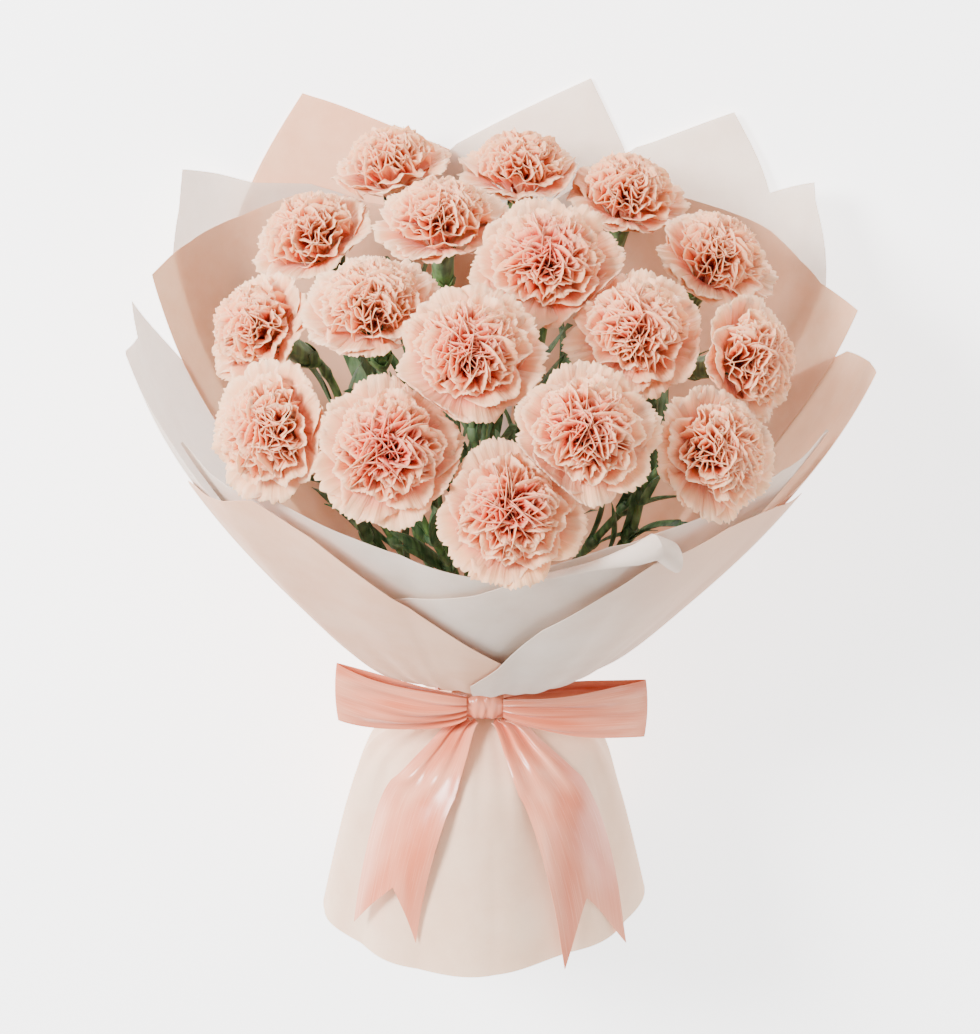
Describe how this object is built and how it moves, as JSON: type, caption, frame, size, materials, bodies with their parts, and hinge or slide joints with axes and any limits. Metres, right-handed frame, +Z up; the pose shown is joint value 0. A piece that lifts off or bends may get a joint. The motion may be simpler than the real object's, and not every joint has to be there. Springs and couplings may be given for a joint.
{
  "type": "carnation bouquet",
  "caption": "Hand-tied round bunch of pale peach carnations wrapped in layered paper sheets with a flared skirt and a satin ribbon bow, lying on its back.",
  "frame": {"origin": "under the middle of the bunch, on the surface it lies on", "axes": "+Y along the stems from the cut ends to the flowers, as the bunch lies; +Z up, out of its front; +X to its right, seen from above with the flowers away"},
  "size_m": [0.3768, 0.4562, 0.2972],
  "materials": {
    "petals": "matte",
    "stem_green": "satin",
    "leaf_green": "matte",
    "twine": "matte",
    "white_paper": "matte",
    "peach_paper": "matte",
    "cream_paper": "matte",
    "satin_ribbon": "satin"
  },
  "bodies": {
    "root": {"bloom_01": "petals", "bloom_02": "petals", "bloom_03": "petals", "bloom_04": "petals", "bloom_05": "petals", "bloom_06": "petals", "bloom_07": "petals", "bloom_08": "petals", "bloom_09": "petals", "bloom_10": "petals", "bloom_11": "petals", "bloom_12": "petals", "bloom_13": "petals", "bloom_14": "petals", "bloom_15": "petals", "bloom_16": "petals", "bloom_17": "petals", "stem_01": "stem_green", "stem_02": "stem_green", "stem_03": "stem_green", "stem_04": "stem_green", "stem_05": "stem_green", "stem_06": "stem_green", "stem_07": "stem_green", "stem_08": "stem_green", "stem_09": "stem_green", "stem_10": "stem_green", "stem_11": "stem_green", "stem_12": "stem_green", "stem_13": "stem_green", "stem_14": "stem_green", "stem_15": "stem_green", "stem_16": "stem_green", "stem_17": "stem_green", "leaves_01": "leaf_green", "leaves_02": "leaf_green", "leaves_03": "leaf_green", "leaves_04": "leaf_green", "leaves_05": "leaf_green", "leaves_06": "leaf_green", "stem_tie": "twine", "back_sheet_white_centre": "white_paper", "back_sheet_white_right": "white_paper", "back_sheet_white_left": "white_paper", "outer_sheet_left": "white_paper", "collar_inner": "white_paper", "collar_outer": "white_paper", "lapel_right": "white_paper", "back_sheet_peach": "peach_paper", "side_sheet_left": "peach_paper", "side_sheet_right": "peach_paper", "outer_sheet_right": "peach_paper", "lapel_left": "peach_paper", "skirt": "cream_paper", "ribbon_band": "satin_ribbon", "ribbon_knot": "satin_ribbon", "bow_loop_left": "satin_ribbon", "bow_loop_right": "satin_ribbon", "ribbon_tail_left": "satin_ribbon", "ribbon_tail_right": "satin_ribbon"}
  },
  "joints": []
}
